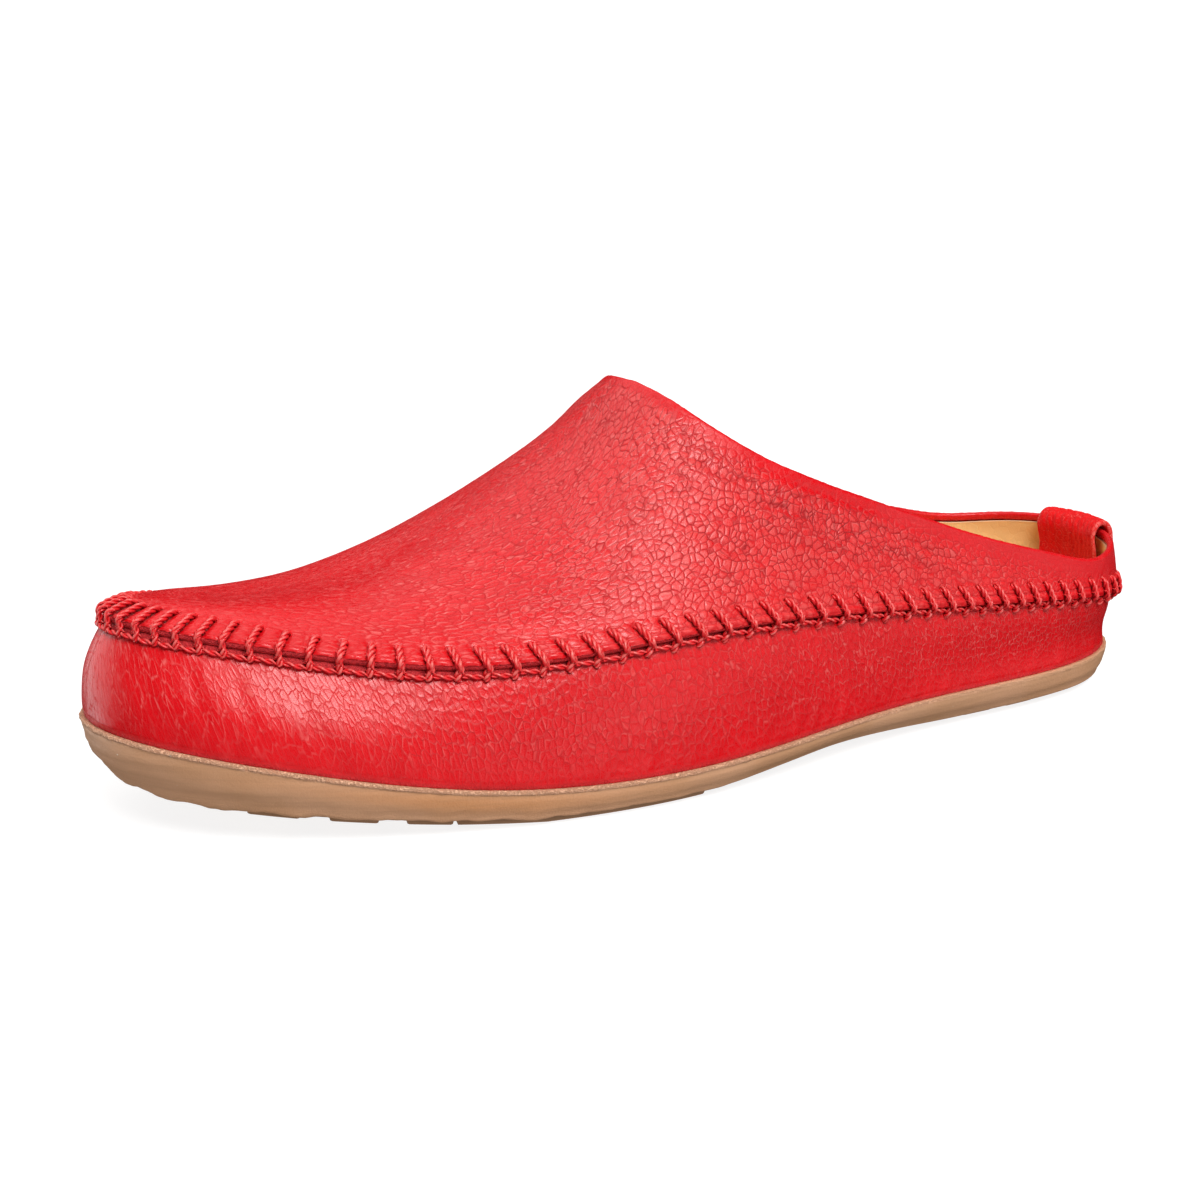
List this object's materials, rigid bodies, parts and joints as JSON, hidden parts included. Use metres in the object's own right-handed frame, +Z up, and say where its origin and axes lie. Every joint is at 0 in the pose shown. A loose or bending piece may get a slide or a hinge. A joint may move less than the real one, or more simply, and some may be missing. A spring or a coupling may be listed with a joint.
{
  "type": "moccasin mule",
  "caption": "Left-foot leather mule with an apron-front hollow upper, low open heel collar, folded pull loop and a thin moulded rubber sole with toe spring.",
  "frame": {"origin": "bottom centre of the whole shoe's bounding box, on the floor", "axes": "+X from heel to toe, +Y towards the wearer's left, which is the outer side of this left shoe, +Z up"},
  "size_m": [0.27, 0.0986, 0.085],
  "materials": {
    "gum_rubber": "satin moulded gum rubber",
    "lining_leather": "smooth matt tan lining leather",
    "apron_leather": "soft-tumbled grain leather with a low sheen",
    "loop_leather": "fine-grained leather band, matt",
    "wall_leather": "finely wrinkled grain leather, satin",
    "stitch_cord": "two-strand twisted waxed cord"
  },
  "bodies": {
    "root": {"outsole": "gum_rubber", "footbed": "lining_leather", "upper": "apron_leather", "pull_loop": "loop_leather"}
  },
  "joints": []
}
